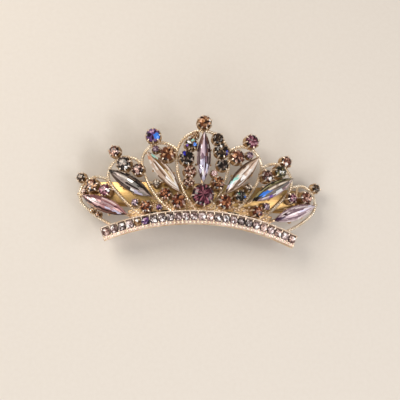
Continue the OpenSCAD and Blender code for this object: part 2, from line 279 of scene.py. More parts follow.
# Long pointed stones: petal, lean, reach of the rib behind to the tip, tones from the outer edge to the inner
# one, and flashes
# A flash is place along from foot to tip, place across from outer to inner, spread, colour
NAVETTES = {
    "navette_centre": ("centre", 0, 7.9, ("dusk", "lilac", "lilac", "lilac", "dusk"), (
        (0.75, 0.4, 0.3, "umber"), (0.75, -0.4, 0.25, "umber"), (0.35, 0.75, 0.2, "shade"),
        (0.1, -0.4, 0.16, "umber"), (0.3, -0.75, 0.2, "shade"), (-0.2, 0.35, 0.16, "ice"),
        (-0.35, 0.0, 0.18, "ice"), (-0.5, 0.4, 0.18, "ice"), (-0.5, -0.4, 0.18, "ice"),
        (-0.55, 0.1, 0.14, "white"), (-0.8, 0.0, 0.16, "ice"))),
    "navette_first_left": ("first", 41, 7.9, ("pearl", "pearl", "pearl", "cream", "pearl"), (
        (0.75, 0.25, 0.14, "teal"), (0.6, 0.4, 0.12, "mint"), (0.7, -0.3, 0.14, "coral"),
        (-0.4, -0.2, 0.14, "white"), (-0.7, 0.1, 0.14, "white"), (0.2, 0.1, 0.14, "white"))),
    "navette_first_right": ("first", 41, 7.9, ("pearl", "pearl", "pearl", "pearl", "sand"), (
        (-0.42, 0.45, 0.16, "teal"), (-0.28, 0.35, 0.13, "teal"), (-0.68, 0.35, 0.16, "ice"),
        (-0.1, -0.2, 0.14, "white"))),
    "navette_second_left": ("second", 59, 7.9, ("slate", "slate", "slate", "slate", "clear"), (
        (0.3, 0.3, 0.2, "silver"), (0.0, 0.3, 0.14, "white"), (-0.35, 0.4, 0.25, "ebony"),
        (0.85, 0.0, 0.2, "ebony"), (-0.25, -0.6, 0.16, "white"), (-0.5, -0.6, 0.2, "ice"),
        (-0.7, -0.3, 0.2, "silver"))),
    "navette_second_right": ("second", 59, 7.9, ("mist", "clear", "clear", "clear", "olive"), (
        (-0.45, 0.1, 0.24, "sky_blue"), (-0.8, 0.0, 0.2, "ebony"), (-0.25, -0.65, 0.1, "violet"),
        (0.1, -0.6, 0.2, "white"))),
    "navette_third_left": ("third", 68, 8.9, ("rose_brown", "pink", "pink", "pink", "pink"), (
        (0.4, 0.1, 0.12, "white"), (-0.2, -0.2, 0.12, "ice"), (-0.05, 0.3, 0.15, "wine"),
        (-0.4, 0.2, 0.15, "wine"), (-0.6, -0.25, 0.16, "ice"), (0.15, -0.6, 0.16, "shade"),
        (0.6, -0.4, 0.15, "shade"), (0.75, 0.25, 0.13, "shade"))),
    "navette_third_right": ("third", 68, 8.9, ("mist", "mist", "mist", "mist", "mist"), (
        (-0.85, 0.0, 0.22, "aubergine"), (-0.5, 0.3, 0.15, "shade"), (0.3, 0.0, 0.16, "ice"),
        (0.7, 0.2, 0.16, "ice"))),
}

# Tones of the band's stones, from left to right
BAND_ROW = (
    "row_rose", "row_lilac", "row_smoke", "row_lilac", "champagne",
    "violet", "row_smoke", "row_smoke", "row_smoke", "row_lilac",
    "row_lilac", "row_lilac", "row_lilac", "row_rose", "row_smoke",
    "row_smoke", "row_lilac", "row_smoke", "row_smoke", "row_lilac",
    "row_rose", "row_lilac", "row_rose", "row_lilac", "row_rose",
)

# The sparkle's small lamps: distance from the crown's axis and height over the floor
SPARKS = ((90, 330), (150, 300), (210, 250), (260, 210), (130, 320), (190, 280), (240, 230))

# The place that every lamp looks at
CROWN_MIDDLE = (0, 0, 8)


def linear(code):
    """A colour written as #rrggbb, in linear light."""
    tone = np.array([int(code[k:k + 2], 16) for k in (1, 3, 5)]) / 255
    return np.where(tone < 0.04045, tone / 12.92, ((tone + 0.055) / 1.055) ** 2.4)


def unit(a):
    """Vectors made one long."""
    return a / np.linalg.norm(a, axis=-1, keepdims=True)


def read_node(name):
    """The corners of a CAD node's mesh, in millimetres."""
    mesh = frame["nodes"][name].data
    points = np.zeros(len(mesh.vertices) * 3, np.float32)
    mesh.vertices.foreach_get("co", points)
    return points.reshape(-1, 3).astype(float) / MM


def slot_of(node):
    """The record's material slot of a CAD node."""
    return next(row["material_slot"] for row in frame["record"]["subparts"] if row["node"] == node)


# The feet of the band are the lowest points in y, which fixes where v is zero
MIDDLE_V = BAND_R * np.cos(np.radians(BAND_HALF_ANGLE)) + BAND_V - read_node("crown_frame")[:, 1].min()


def on_head(x, v, w=0.0):
    """Points over the head: the height is that of a circle of radius HEAD_R + w at x."""
    x, v, w = np.broadcast_arrays(x, v, w)
    z = FACE_Z - HEAD_R + np.sqrt((HEAD_R + w) ** 2 - x ** 2)
    return np.stack([x, v - MIDDLE_V, z], axis=-1)


def on_band(r, angle, w=0.0):
    """Points over the head at a radius and an angle about the band's centre, in degrees from upright."""
    turn = np.radians(angle)
    return on_head(r * np.sin(turn), BAND_V + r * np.cos(turn), w)


def head_out(points):
    """The direction square to the head at each point, away from the head's axis."""
    return unit(points * [1, 0, 1] - [0, 0, FACE_Z - HEAD_R])


def side_of(name):
    """Which half of the crown a stone is on: -1 is the left one."""
    return -1 if "left" in name else 1


def tilt_of(petal):
    """The angle by which the plane that touches the head at a petal is turned, in radians."""
    return np.arcsin(PETALS[petal][0] / HEAD_R)


def plan_x(petal, u):
    """Where a place across a petal's plane lies in plan."""
    tilt = tilt_of(petal)
    return np.sign(u) * (PETALS[petal][0] + (abs(u) - tilt * HEAD_R) * np.cos(tilt))


def petal_axes(petal, side):
    """The directions across, up and out of a petal's plane, one to a row."""
    tilt = side * tilt_of(petal)
    return np.array([[np.cos(tilt), 0, -np.sin(tilt)], [0, 1, 0], [np.sin(tilt), 0, np.cos(tilt)]])


def petal_seat(petal, u, v, w):
    """A seat, which is a place and three directions, on a petal's plane."""
    side = 1 if u >= 0 else -1
    axes = petal_axes(petal, side)
    tilt = tilt_of(petal)
    touch = np.array([side * PETALS[petal][0], -MIDDLE_V, FACE_Z - HEAD_R + HEAD_R * np.cos(tilt)])
    return touch + np.array([u - side * tilt * HEAD_R, v, w]) @ axes, axes


def node_seat(name, petal):
    """The seat under a stone and its width, measured on the CAD node along its petal's directions."""
    axes = petal_axes(petal, side_of(name))
    points = read_node(name) @ axes.T
    low, high = points.min(0), points.max(0)
    middle = (low + high) / 2
    return (np.array([middle[0], middle[1], low[2]]) @ axes, axes), high[1] - low[1]


def cup_foot(seat):
    """The seat of a cup or plate, at the height of the wires' middle under a stone's own seat."""
    origin, axes = seat
    return origin - SEAT * axes[2], axes


def band_seat(r, angle, w):
    """A seat on the band, with the directions along it, up and out."""
    origin = on_band(r, angle, w)
    out = head_out(origin)
    turn = np.radians(angle)
    radial = np.array([np.sin(turn), np.cos(turn), 0])
    up = unit(radial - out * (radial @ out))
    return origin, np.array([np.cross(up, out), up, out])


def placed(local, seat):
    """Points given across, up and out of a seat, in the crown's own frame."""
    return seat[0] + local @ seat[1]


def joined(shapes):
    """Several shapes of points and faces as one."""
    points, faces, start = [], [], 0
    for corners, groups in shapes:
        points.append(corners)
        faces += [group + start for group in groups]
        start += len(corners)
    return np.concatenate(points), faces


def face_count(shape):
    """How many faces a shape has, over its groups of triangles and quads."""
    return sum(len(group) for group in shape[1])


def lofted(rings):
    """Quads between rings: point j of a ring joins point j of the next, and a fan closes each end."""
    count, around = rings.shape[:2]
    i, j = np.divmod(np.arange((count - 1) * around), around)
    k = (j + 1) % around
    quads = np.stack([i * around + j, i * around + k, (i + 1) * around + k, (i + 1) * around + j], 1)
    j = np.arange(around)
    k = (j + 1) % around
    last = (count - 1) * around
    middles = np.full((around, 2), count * around) + [0, 1]
    near = np.stack([middles[:, 0], k, j], 1)
    far = np.stack([middles[:, 1], last + j, last + k], 1)
    return np.concatenate([rings.reshape(-1, 3), rings[[0, -1]].mean(1)]), [quads, near, far]


def distances(points):
    """How far along a line each of its points is."""
    return np.concatenate([[0], np.cumsum(np.linalg.norm(np.diff(points, axis=0), axis=1))])


def even(points, step):
    """The same line with its points an even step apart, by length along it."""
    lengths = distances(points)
    along = np.linspace(0, lengths[-1], max(int(lengths[-1] / step), 2) + 1)
    return np.stack([np.interp(along, lengths, points[:, k]) for k in range(3)], 1)


def square_to(points, out):
    """Two directions square to a line at each of its points: the one nearest to out, and the one across."""
    along = unit(np.gradient(points, axis=0))
    across = unit(np.cross(along, out))
    return np.cross(across, along), across


def tube(points, out, radius, sides=8):
    """A round bar: at each point of a line a circle of the given radius, square to the line."""
    up, across = square_to(points, out)
    turn = np.arange(sides)[None, :, None] * 2 * np.pi / sides
    circle = np.cos(turn) * up[:, None] + np.sin(turn) * across[:, None]
    return lofted(points[:, None] + np.reshape(radius, (-1, 1, 1)) * circle)


def rope(points, width, pitch):
    """Two strands, each a little over half as wide as the rope, wound round the line half a turn apart."""
    strand_r = 0.26 * width
    points = even(points, pitch / 12)
    up, across = square_to(points, head_out(points))
    strands = []
    for start in (0, np.pi):
        turn = (2 * np.pi * distances(points) / pitch + start)[:, None]
        beside = np.cos(turn) * up + np.sin(turn) * across
        strands.append(tube(points + (width / 2 - strand_r) * beside, beside, strand_r, 7))
    return joined(strands)


def turned(profile, seat, sides=28):
    """A profile of radius and height turned about the seat's outward direction."""
    profile = np.array(profile)
    turn = np.arange(sides) * 2 * np.pi / sides
    rings = np.stack([
        profile[:, :1] * np.cos(turn),
        profile[:, :1] * np.sin(turn),
        np.repeat(profile[:, 1:], sides, axis=1),
    ], -1)
    points, faces = lofted(rings)
    return placed(points, seat), faces


def ball(centre, radius):
    """A small globe: rings of latitude about the z axis, closed by a fan at each pole."""
    height = np.sin(np.linspace(-1.2, 1.2, 5))
    turn = np.arange(8) * np.pi / 4
    flat = np.sqrt(1 - height ** 2)[:, None]
    rings = np.stack([flat * np.cos(turn), flat * np.sin(turn), np.repeat(height[:, None], 8, 1)], -1)
    points, faces = lofted(rings)
    points[-2:] = [[0, 0, -1], [0, 0, 1]]
    return centre + radius * points, faces


def petal_line(petal):
    """The middle line of a petal's wire on the right half: up the outer side arc, then round the top arc. Its
    foot is sunk a little way into the band."""
    x, v, top_r, top_end, lean, side_r, swing = PETALS[petal]
    turn = np.radians(-lean)
    middle = np.array([x, v]) + (side_r - top_r) * np.array([-np.cos(turn), -np.sin(turn)])
    side = np.radians(np.linspace(-lean - swing, -lean, 60))
    top = np.radians(np.linspace(-lean, top_end, 80))[1:]
    line = np.concatenate([
        middle + side_r * np.stack([np.cos(side), np.sin(side)], 1),
        [x, v] + top_r * np.stack([np.cos(top), np.sin(top)], 1),
    ])
    return line[np.hypot(line[:, 0], line[:, 1] - BAND_V) > BAND_TOP - WIRE_SUNK]


def lens(length, width):
    """The outline with two points, as two equal arcs, with the long axis upright."""
    r = (length ** 2 + width ** 2) / (4 * width)
    half = np.arcsin(length / 2 / r)
    turn = np.linspace(-half, half, NAVETTE_AROUND // 2 + 1)[:-1]
    right = np.stack([r * np.cos(turn) - r + width / 2, r * np.sin(turn)], 1)
    return np.concatenate([right, -right])


class Link:
    """An output of a node in a finish. Sums and products of it add Math nodes."""

    def __init__(self, finish, socket):
        self.finish = finish
        self.socket = socket

    def maths(self, operation, other):
        return self.finish.node("ShaderNodeMath", {"operation": operation}, {0: self, 1: other})

    def __add__(self, other):
        return self.maths("ADD", other)

    def __mul__(self, other):
        return self.maths("MULTIPLY", other)

    __radd__ = __add__
    __rmul__ = __mul__


class Finish:
    """A material whose nodes are made one at a time."""

    def __init__(self, name, **sockets):
        self.material = bpy.data.materials.new(name)
        self.material.use_nodes = True
        self.tree = self.material.node_tree
        self.shader = self.tree.nodes["Principled BSDF"]
        self.paint(**sockets)

    def feed(self, socket, value):
        """Gives a socket a link or a plain value."""
        if isinstance(value, Link):
            self.tree.links.new(value.socket, socket)
        else:
            socket.default_value = value

    def paint(self, **values):
        """Feeds the shader's own sockets, each named with _ for a space."""
        for key, value in values.items():
            self.feed(self.shader.inputs[key.replace("_", " ")], value)

    def node(self, kind, settings, inputs, output=0):
        """A node of that type, its settings first, then its sockets; returns one of its outputs."""
        made = self.tree.nodes.new(kind)
        for key, value in settings.items():
            setattr(made, key, value)
        for key, value in inputs.items():
            self.feed(made.inputs[key], value)
        return Link(self, made.outputs[output])

    def noise(self, scale, detail=2.0):
        """Noise over the object's own coordinates, as a number from 0 to 1."""
        place = self.node("ShaderNodeTexCoord", {}, {}, "Object")
        return self.node("ShaderNodeTexNoise", {}, {"Vector": place, "Scale": scale, "Detail": detail})

    def mixed(self, share, first, second):
        """A colour between two, by a share. Sockets 6 and 7 and output 2 are the node's colour ones."""
        return self.node("ShaderNodeMix", {"data_type": "RGBA"}, {"Factor": share, 6: first, 7: second}, 2)

    def dents(self, height, strength, depth):
        """A normal that is dented by a height from 0 to 1, with its depth in metres."""
        return self.node("ShaderNodeBump", {}, {"Height": height, "Strength": strength, "Distance": depth})


def rgba(code):
    """A colour for a socket."""
    return (*linear(code), 1.0)


def gold_finish(name, pale, deep, roughness):
    """Polished plate: two golds in soft patches, fine grain in the gloss, and shallow dents from casting."""
    gold = Finish(name, Metallic=0.8)
    patches = gold.noise(420.0)
    grain = gold.noise(5200.0, 3.0)
    share = gold.node("ShaderNodeMapRange", {}, {"Value": patches, "From Min": 0.35, "From Max": 0.65})
    tone = gold.mixed(share, rgba(pale), rgba(deep))
    gold.paint(Base_Color=tone, Roughness=roughness + 0.16 * grain, Normal=gold.dents(grain, 0.25, 0.00003))
    return gold.material


def strip_finish():
    """The clasp's plate: brushed along its length, and yellower than the crown."""
    plate = Finish("brushed_clasp_gold", Metallic=1.0)
    place = plate.node("ShaderNodeTexCoord", {}, {}, "Object")
    long = plate.node("ShaderNodeMapping", {}, {"Vector": place, "Scale": (60.0, 5200.0, 400.0)})
    brush = plate.node("ShaderNodeTexNoise", {}, {"Vector": long, "Scale": 1.0, "Detail": 3.0})
    tone = plate.mixed(brush, rgba("#dcba80"), rgba("#a88756"))
    plate.paint(Base_Color=tone, Roughness=0.3 + 0.14 * brush, Normal=plate.dents(brush, 0.2, 0.00002))
    return plate.material


def glass_finish():
    """Cut glass with foil behind it: each facet has its own colour, with the stone's dark and bright
    reflections painted into it, and polished faces over it.
    """
    glass = Finish("cut_glass", Metallic=0.15, Roughness=0.12, Specular_IOR_Level=0.25)
    glass.paint(Coat_Weight=0.7, Coat_Roughness=0.02)
    facet = glass.node("ShaderNodeAttribute", {"attribute_name": "facet"}, {}, "Color")
    cloud = glass.noise(1500.0)
    glass.paint(Base_Color=glass.mixed(0.2 * cloud, facet, rgba("#24160f")))
    return glass.material


def floor_finish():
    """Plain pale card."""
    card = Finish("pale_floor", Roughness=0.75)
    tooth = card.noise(900.0, 4.0)
    card.paint(Base_Color=card.mixed(tooth, rgba("#dcd6ce"), rgba("#d6cfc6")))
    return card.material


PALE_GOLD = gold_finish("pale_gold", "#fdf0e2", "#ecd6bc", 0.26)
WIRE_GOLD = gold_finish("wire_gold", "#fff6e6", "#efdcc0", 0.2)
DEEP_GOLD = gold_finish("deep_gold", "#f3dfc2", "#d6b488", 0.26)
# The cups' walls are painted a darker gold as shade and as the dark reflections round the stones
CUP_WALL_SHADE = gold_finish("cup_wall_painted_shade", "#c8a67c", "#92704c", 0.28)
# The feet's plates are painted a darker gold as the shade between the grains
FEET_SHADE = gold_finish("feet_painted_shade", "#e8c898", "#b48e60", 0.27)
RIM_GOLD = gold_finish("rim_gold", "#f4dad0", "#d8b6a8", 0.28)
# A darker gold painted as the shade in the band's groove and under its ledge
GROOVE_SHADE = gold_finish("groove_painted_shade", "#b8a08e", "#7e6656", 0.35)
# A near-black gold painted as the shadow in the slots
SLOT_SHADOW = gold_finish("slot_shadow", "#241a10", "#120c06", 0.6)
CLASP_GOLD = strip_finish()
CUT_GLASS = glass_finish()


def piece(name, node, shape, sharp, *finishes, colours=None, chosen=None):
    """Makes one mesh of a shape in millimetres, in place of a CAD node. Faces that meet at less than the
    sharp angle look smooth, and with no angle every face is flat. Colours are the faces' own, for cut glass,
    and chosen is the number of each face's finish where there are several."""
    points, groups = shape
    mesh = bpy.data.meshes.new(name)
    mesh.from_pydata((points * MM).tolist(), [], [face for group in groups for face in group.tolist()])
    if colours is not None:
        layer = mesh.color_attributes.new("facet", "FLOAT_COLOR", "CORNER")
        corners = np.concatenate([np.full(len(group), group.shape[1]) for group in groups])
        layer.data.foreach_set("color", np.repeat(colours, corners, axis=0).ravel())
    mesh.polygons.foreach_set("use_smooth", np.full(len(mesh.polygons), sharp is not None))
    if sharp is not None:
        mesh.set_sharp_from_angle(angle=np.radians(sharp))
    for finish in finishes:
        mesh.materials.append(finish)
    if chosen is not None:
        mesh.polygons.foreach_set("material_index", chosen.astype(np.int32))
    made = bpy.data.objects.new(name, mesh)
    bpy.context.scene.collection.objects.link(made)
    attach(made, "root")
    slot_of(node)
    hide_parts(node)


def gold_piece(name, shape, sharp, *finishes, chosen=None):
    """A piece of the crown's soldered metal."""
    piece(name, "crown_frame", shape, sharp, *finishes, chosen=chosen)


def glass_piece(name, node, shape, colours):
    """A piece of cut glass in place of a CAD node, with flat faces."""
    piece(name, node, shape, None, CUT_GLASS, colours=colours)


def facet_colours(tone, place, flashes, chance):
    """A colour for each facet from its place in shares of the stone and a number from 0 to 1: painted dark as
    shade, body, or painted light as reflected light by that number, which is a tenth greater in the middle
    and a fifth less at the edge, so that the middle is painted lighter and the edge darker as shade, and the
    flash colour near a flash."""
    dark, body, light = (linear(code) for code in TONES[tone])
    rim = np.clip(np.hypot(place[:, 0], place[:, 1]), 0, 1)
    share = (chance * (1.1 - 0.3 * rim ** 2))[:, None]
    colours = dark + (body - dark) * np.clip((share - BODY_FROM) / BLEND, 0, 1)
    colours += (light - body) * np.clip((share - LIGHT_FROM) / BLEND, 0, 1)
    for x, y, spread, name in flashes:
        near = np.hypot(place[:, 0] - x, place[:, 1] - y) < spread
        colours[near] = linear(FLASHES[name])
    return np.column_stack([colours, np.ones(len(colours))])


def faceted(rings):
    """Triangles between rings that are each turned half a step from the one before, and a fan over each end.
    Also returns the kite that each triangle is in: the two that meet on a ring's edge are one facet."""
    count, around = rings.shape[:2]
    i, j = np.divmod(np.arange((count - 1) * around), around)
    k = (j + 1) % around
    low, high = i * around, (i + 1) * around
    lower = np.stack([low + j, low + k, high + j], 1)
    upper = np.stack([high + j, low + k, high + k], 1)
    points, fans = lofted(rings)
    first = np.arange(around)
    kites = np.concatenate([low + j, high + j, first, (count - 1) * around + first])
    return points, [lower, upper, *fans[1:]], kites


def kite_middles(points, faces, kites):
    """The middle of each kite, and the kite's number in that list for each triangle."""
    middles = np.concatenate([points[group].mean(1) for group in faces])
    order = np.unique(kites, return_inverse=True)[1]
    weight = np.bincount(order)[:, None]
    return np.stack([np.bincount(order, middles[:, axis]) for axis in range(3)], 1) / weight, order


def round_cut(width, seat, turn, tone, flashes, rng, cushion=0.0):
    """A round brilliant: foot, girdle, a ring of kites and the table, each ring turned half a step further.
    A cushion's corners reach out towards those of a square. Returns its shape and a colour for each facet."""
    # A larger stone has more corners round its girdle
    around = 8 if width < 2.3 else 10 if width < 5 else 22
    girdle = PAVILION * width
    crown = CROWN * width
    # share of the radius, height over the foot
    levels = np.array([
        (0.30, 0.0),
        (1.00, girdle),
        (1.00, girdle + GIRDLE),
        (0.80, girdle + GIRDLE + 0.62 * crown),
        (0.56, girdle + GIRDLE + crown),
        (0.28, girdle + GIRDLE + 1.03 * crown),
    ])
    steps = np.arange(around) + 0.5 * np.arange(len(levels))[:, None]
    angle = steps * 2 * np.pi / around + np.radians(turn)
    corner = (np.cos(angle) ** 4 + np.sin(angle) ** 4) ** -0.25
    radius = levels[:, :1] * width / 2 * (1 + cushion * (corner - 1))
    height = np.repeat(levels[:, 1:], around, 1)
    points, faces, kites = faceted(np.stack([radius * np.cos(angle), radius * np.sin(angle), height], -1))
    middles, order = kite_middles(points, faces, kites)
    spots = [(share * np.cos(np.radians(at)), share * np.sin(np.radians(at)), spread, name)
             for at, share, spread, name in flashes]
    colours = facet_colours(tone, middles[:, :2] / (width / 2), spots, rng.random(len(middles)))
    return (placed(points, seat), faces), colours[order]


def setting(width, seat, claws):
    """A cup with a flat foot and a thin wall, and claws that bend over the stone's edge. Returns its shape,
    and for each face whether it is the wall's, 0, or a claw's, 1."""
    r = width / 2
    foot = r + min(0.34, 0.14 * width)
    girdle = SEAT + PAVILION * width
    crown = CROWN * width
    # radius and height of the wall, from the foot up its outside, over the lip and down to the stone's seat
    wall = (
        (foot - 0.14, -0.4),
        (foot, -0.3),
        (foot, -0.1),
        (foot - 0.14, 0.1),
        (r + 0.16, girdle - 0.4),
        (r + 0.12, girdle - 0.3),
        (r + 0.06, girdle - 0.3),
        (r + 0.03, girdle - 0.4),
        (r + 0.03, SEAT - 0.02),
    )
    # radius and height of a claw's middle line
    climb = np.array([
        (foot - 0.16, 0.1),
        (foot - 0.12, girdle - 0.1),
        (r + 0.16, girdle + 0.2),
        (r * 0.93, girdle + GIRDLE + 0.28 * crown + 0.1),
        (r * 0.83, girdle + GIRDLE + 0.55 * crown + 0.08),
    ])
    claw_r = min(0.25, 0.085 * width)
    shapes = [turned(wall, seat)]
    for turn in np.radians(claws):
        local = np.stack([climb[:, 0] * np.cos(turn), climb[:, 0] * np.sin(turn), climb[:, 1]], 1)
        line = even(placed(local, seat), 0.3)
        outward = np.array([np.cos(turn), np.sin(turn), 0.35]) @ seat[1]
        shapes.append(tube(line, outward, claw_r * np.sqrt(np.linspace(1.0, 0.6, len(line))), 7))
    shape = joined(shapes)
    return shape, np.arange(face_count(shape)) >= face_count(shapes[0])


def claw_angles(width, turn):
    """Claws evenly round a stone: four on the smallest, eight on the largest."""
    count = 8 if width > 3.6 else 6 if width > 2.2 else 4
    return turn + 45 + np.arange(count) * 360 / count


def streaks(lane, lanes, along, rng):
    """A number from 0 to 1 for each facet of a long stone: much the same along each lane for about a third of
    the stone's length, with the joints at a different place in every lane."""
    chance = rng.random((lanes, STRETCHES + 1))
    start = rng.random(lanes)
    stretch = ((along + 1) / 2 * STRETCHES + start[lane]).astype(int)
    mixed = (1 - OWN_CHANCE) * chance[lane, stretch] + OWN_CHANCE * rng.random(len(along))
    return np.clip(0.5 + STREAK_CONTRAST * (mixed - 0.5), 0, 1)


def navette_cut(seat, side, lean, tones, flashes, rng):
    """A long stone with two points: outlines of two arcs from the foot over the girdle to the table, with a
    fan over each end. The facets between two outlines make a lane on each side of the middle, and a lane's
    tone goes by its place across, from the outer edge to the inner one."""
    # share of the length, share of the width, height over the foot
    levels = np.array([
        (0.62, 0.25, 0.0),
        (1.0, 1.0, 1.5),
        (1.0, 1.0, 1.65),
        (0.965, 0.85, 1.97),
        (0.93, 0.7, 2.25),
        (0.87, 0.55, 2.45),
        (0.8, 0.4, 2.6),
        (0.6, 0.14, 2.63),
    ])
    around = NAVETTE_AROUND
    last = len(levels) - 1
    points, faces = lofted(np.array([
        np.column_stack([lens(NAVETTE_L * share_l, NAVETTE_W * share_w), np.full(around, height)])
        for share_l, share_w, height in levels
    ]))
    middles = np.concatenate([points[group].mean(1) for group in faces])
    along = middles[:, 1] / (NAVETTE_L / 2)
    across = middles[:, 0] / (NAVETTE_W / 2)
    # The level that each facet starts from: the quads, the fan under the foot, and the fan over the table
    zone = np.concatenate([np.repeat(np.arange(last), around), np.zeros(around, int), np.full(around, last)])
    widths = np.append((levels[:-1, 1] + levels[1:, 1]) / 2, levels[-1, 1] / 2)
    beside = np.where(across > 0, 1, -1) * widths[zone]
    chance = streaks(2 * zone + (across > 0), 2 * len(levels), along, rng)
    place = np.stack([along, -across], 1)
    by_tone = np.array([facet_colours(tone, place, flashes, chance) for tone in tones])
    bands = ((1 - beside) / 2 * len(tones)).astype(int)
    colours = by_tone[np.clip(bands, 0, len(tones) - 1), np.arange(len(bands))]
    turn = -np.radians(lean)
    spin = np.array([[np.cos(turn), np.sin(turn), 0], [-np.sin(turn), np.cos(turn), 0], [0, 0, 1]])
    local = (points @ spin) * [side, 1, 1]
    # A stone of the left half is a mirror image, so its faces are turned round to point outwards again
    if side < 0:
        faces = [group[:, ::-1] for group in faces]
    return (placed(local, seat), faces), colours


def navette_mount(petal, side, seat, lean, reach):
    """The rib behind a long stone, the plate that it lies on, and claws at its points and sides."""
    slope = np.arctan(np.cos(tilt_of(petal)) * np.tan(np.radians(lean)))
    middle = seat[0][:2] + [0, MIDDLE_V]
    axis = np.array([side * np.sin(slope), np.cos(slope)])
    beside = np.array([axis[1], -axis[0]])
    line = middle + np.linspace(-RIB_FOOT, reach, 24)[:, None] * axis
    rib = on_head(line[:, 0], line[:, 1])
    plan = middle + lens(NAVETTE_L - 3, NAVETTE_W - 1) @ [beside, axis]
    plate = np.array([on_head(plan[:, 0], plan[:, 1], w) for w in (-0.35, 0.35)])
    shapes = [tube(rib, head_out(rib), WIRE_T / 2), lofted(plate)]
    lengthwise = np.array([side * np.sin(np.radians(lean)), np.cos(np.radians(lean)), 0])
    crosswise = np.array([lengthwise[1], -lengthwise[0], 0])
    climb = np.array(CLAW_CLIMB)
    for share, claw_side in NAVETTE_CLAWS:
        if claw_side:
            outward = crosswise * claw_side
            edge = lengthwise * share * NAVETTE_L / 2 + outward * NAVETTE_W / 2
        else:
            outward = lengthwise * share
            edge = outward * (NAVETTE_L / 2 + 0.05)
        local = edge - outward * climb[:, :1] + climb[:, 1:] * [0, 0, 1]
        line = even(placed(local, seat), 0.25)
        out = outward @ seat[1] + seat[1][2] * 0.3
        shapes.append(tube(line, out, np.linspace(0.24, 0.15, len(line)), 7))
    return joined(shapes)


def band_loft(profile, low=-BAND_HALF_ANGLE, high=BAND_HALF_ANGLE, steps=96):
    """A closed profile of radius and height carried along the band's arc."""
    profile = np.array(profile)
    return lofted(np.array([
        on_band(profile[:, 0], angle, profile[:, 1]) for angle in np.linspace(low, high, steps)
    ]))


def make_petals():
    """The seven petals' rope wires. The centre one is closed by its own mirror image."""
    for petal in PETALS:
        line = petal_line(petal)
        if petal == "centre":
            paths = {"centre": np.concatenate([line, line[-2::-1] * [-1, 1]])}
        else:
            paths = {f"{petal}_left": line * [-1, 1], f"{petal}_right": line}
        for name, path in paths.items():
            shape = rope(on_head(path[:, 0], path[:, 1]), ROPE_W, ROPE_PITCH)
            gold_piece(f"petal_rope_{name}", shape, 50, WIRE_GOLD)


def make_rounds(rng):
    """Each round stone and its setting."""
    for name, (petal, tone, turn, flashes) in ROUND_STONES.items():
        seat, width = node_seat(name, petal)
        shape, colours = round_cut(width, seat, turn, tone, flashes, rng)
        glass_piece(f"cut_{name}", name, shape, colours)
        cup, chosen = setting(width, cup_foot(seat), claw_angles(width, turn))
        gold_piece(f"setting_{name}", cup, 40, CUP_WALL_SHADE, PALE_GOLD, chosen=chosen)


def make_small_stones(rng):
    """The smallest round stones as one piece, and their settings as another."""
    shapes, colours, cups, chosen = [], [], [], []
    for petal, u, v, width, tone in SMALL_STONES:
        turn = 10 * u
        shape, tones = round_cut(width, petal_seat(petal, u, v, SEAT), turn, tone, (), rng)
        shapes.append(shape)
        colours.append(tones)
        cup, finish = setting(width, petal_seat(petal, u, v, 0), claw_angles(width, turn))
        cups.append(cup)
        chosen.append(finish)
    glass_piece("cut_small_stones", "small_stones", joined(shapes), np.concatenate(colours))
    gold_piece("settings_small_stones", joined(cups), 40, CUP_WALL_SHADE, PALE_GOLD, chosen=np.concatenate(chosen))


def make_navettes(rng):
    """The long pointed stones and their mounts."""
    for name, (petal, lean, reach, tones, flashes) in NAVETTES.items():
        side = side_of(name)
        seat, _ = node_seat(name, petal)
        shape, colours = navette_cut(seat, side, lean, tones, flashes, rng)
        glass_piece(f"cut_{name}", name, shape, colours)
        gold_piece(f"mount_{name}", navette_mount(petal, side, cup_foot(seat), lean, reach), 40, DEEP_GOLD)


def make_channel():
    """The band itself, with the groove that its stones stand in."""
    # radius, height, and the finish of the side from here to the next row
    channel = np.array([
        (BAND_R + 0.15, -0.4, 0),
        (BAND_TOP - 0.15, -0.4, 0),
        (BAND_TOP, -0.25, 0),
        (BAND_TOP, BAND_FACE - 0.15, 0),
        (BAND_TOP - 0.1, BAND_FACE, 0),
        # From the ledge down into the groove the finish is painted darker as shade in those hollows
        (LEDGE, BAND_FACE, 1),
        (LEDGE, BAND_FACE - 0.45, 1),
        (ROW_HIGH, BAND_FACE - 0.45, 1),
        (ROW_HIGH, ROW_FLOOR, 1),
        (ROW_LOW, ROW_FLOOR, 1),
        (ROW_LOW, BAND_FACE, 0),
        (BAND_R + 0.15, BAND_FACE, 0),
        # The lower wall takes the deeper gold as painted shade on that side
        (BAND_R, BAND_FACE - 0.15, 2),
        (BAND_R, -0.25, 0),
    ])
    shape = band_loft(channel[:, :2])
    quads, *ends = shape[1]
    sides = np.tile(channel[:, 2], len(quads) // len(channel))
    chosen = np.append(sides, np.zeros(sum(len(end) for end in ends)))
    gold_piece("band_channel", shape, 30, RIM_GOLD, GROOVE_SHADE, DEEP_GOLD, chosen=chosen)


def row_places():
    """The angle of each of the band's stones, and the angle from one to the next."""
    step = np.degrees(ROW_PITCH / ROW_R)
    return (np.arange(len(BAND_ROW)) - (len(BAND_ROW) - 1) / 2) * step, step


def make_rims():
    """The thin rope on the band's upper rim, the one along its lower wall, and the beads on its lower rim."""
    # The rope along the lower wall is in the deeper gold, painted as shade on that side
    # name, radius, height, width, pitch, finish
    rails = (
        ("band_rail_top", BAND_TOP - 0.18, BAND_FACE, 0.42, 0.9, PALE_GOLD),
        ("band_rail_side", BAND_R + 0.12, 1.0, 0.55, 1.2, DEEP_GOLD),
    )
    angles = np.linspace(-BAND_HALF_ANGLE, BAND_HALF_ANGLE, 200)
    for name, radius, w, width, pitch, finish in rails:
        gold_piece(name, rope(on_band(radius, angles, w), width, pitch), 50, finish)
    places, step = row_places()
    beads = [
        ball(on_band(BAND_R + BEAD_R, angle, BAND_FACE), BEAD_R)
        for angle in np.arange(places[0] - step / 2, places[-1] + step, step / 2)
    ]
    gold_piece("band_beads", joined(beads), 60, WIRE_GOLD)


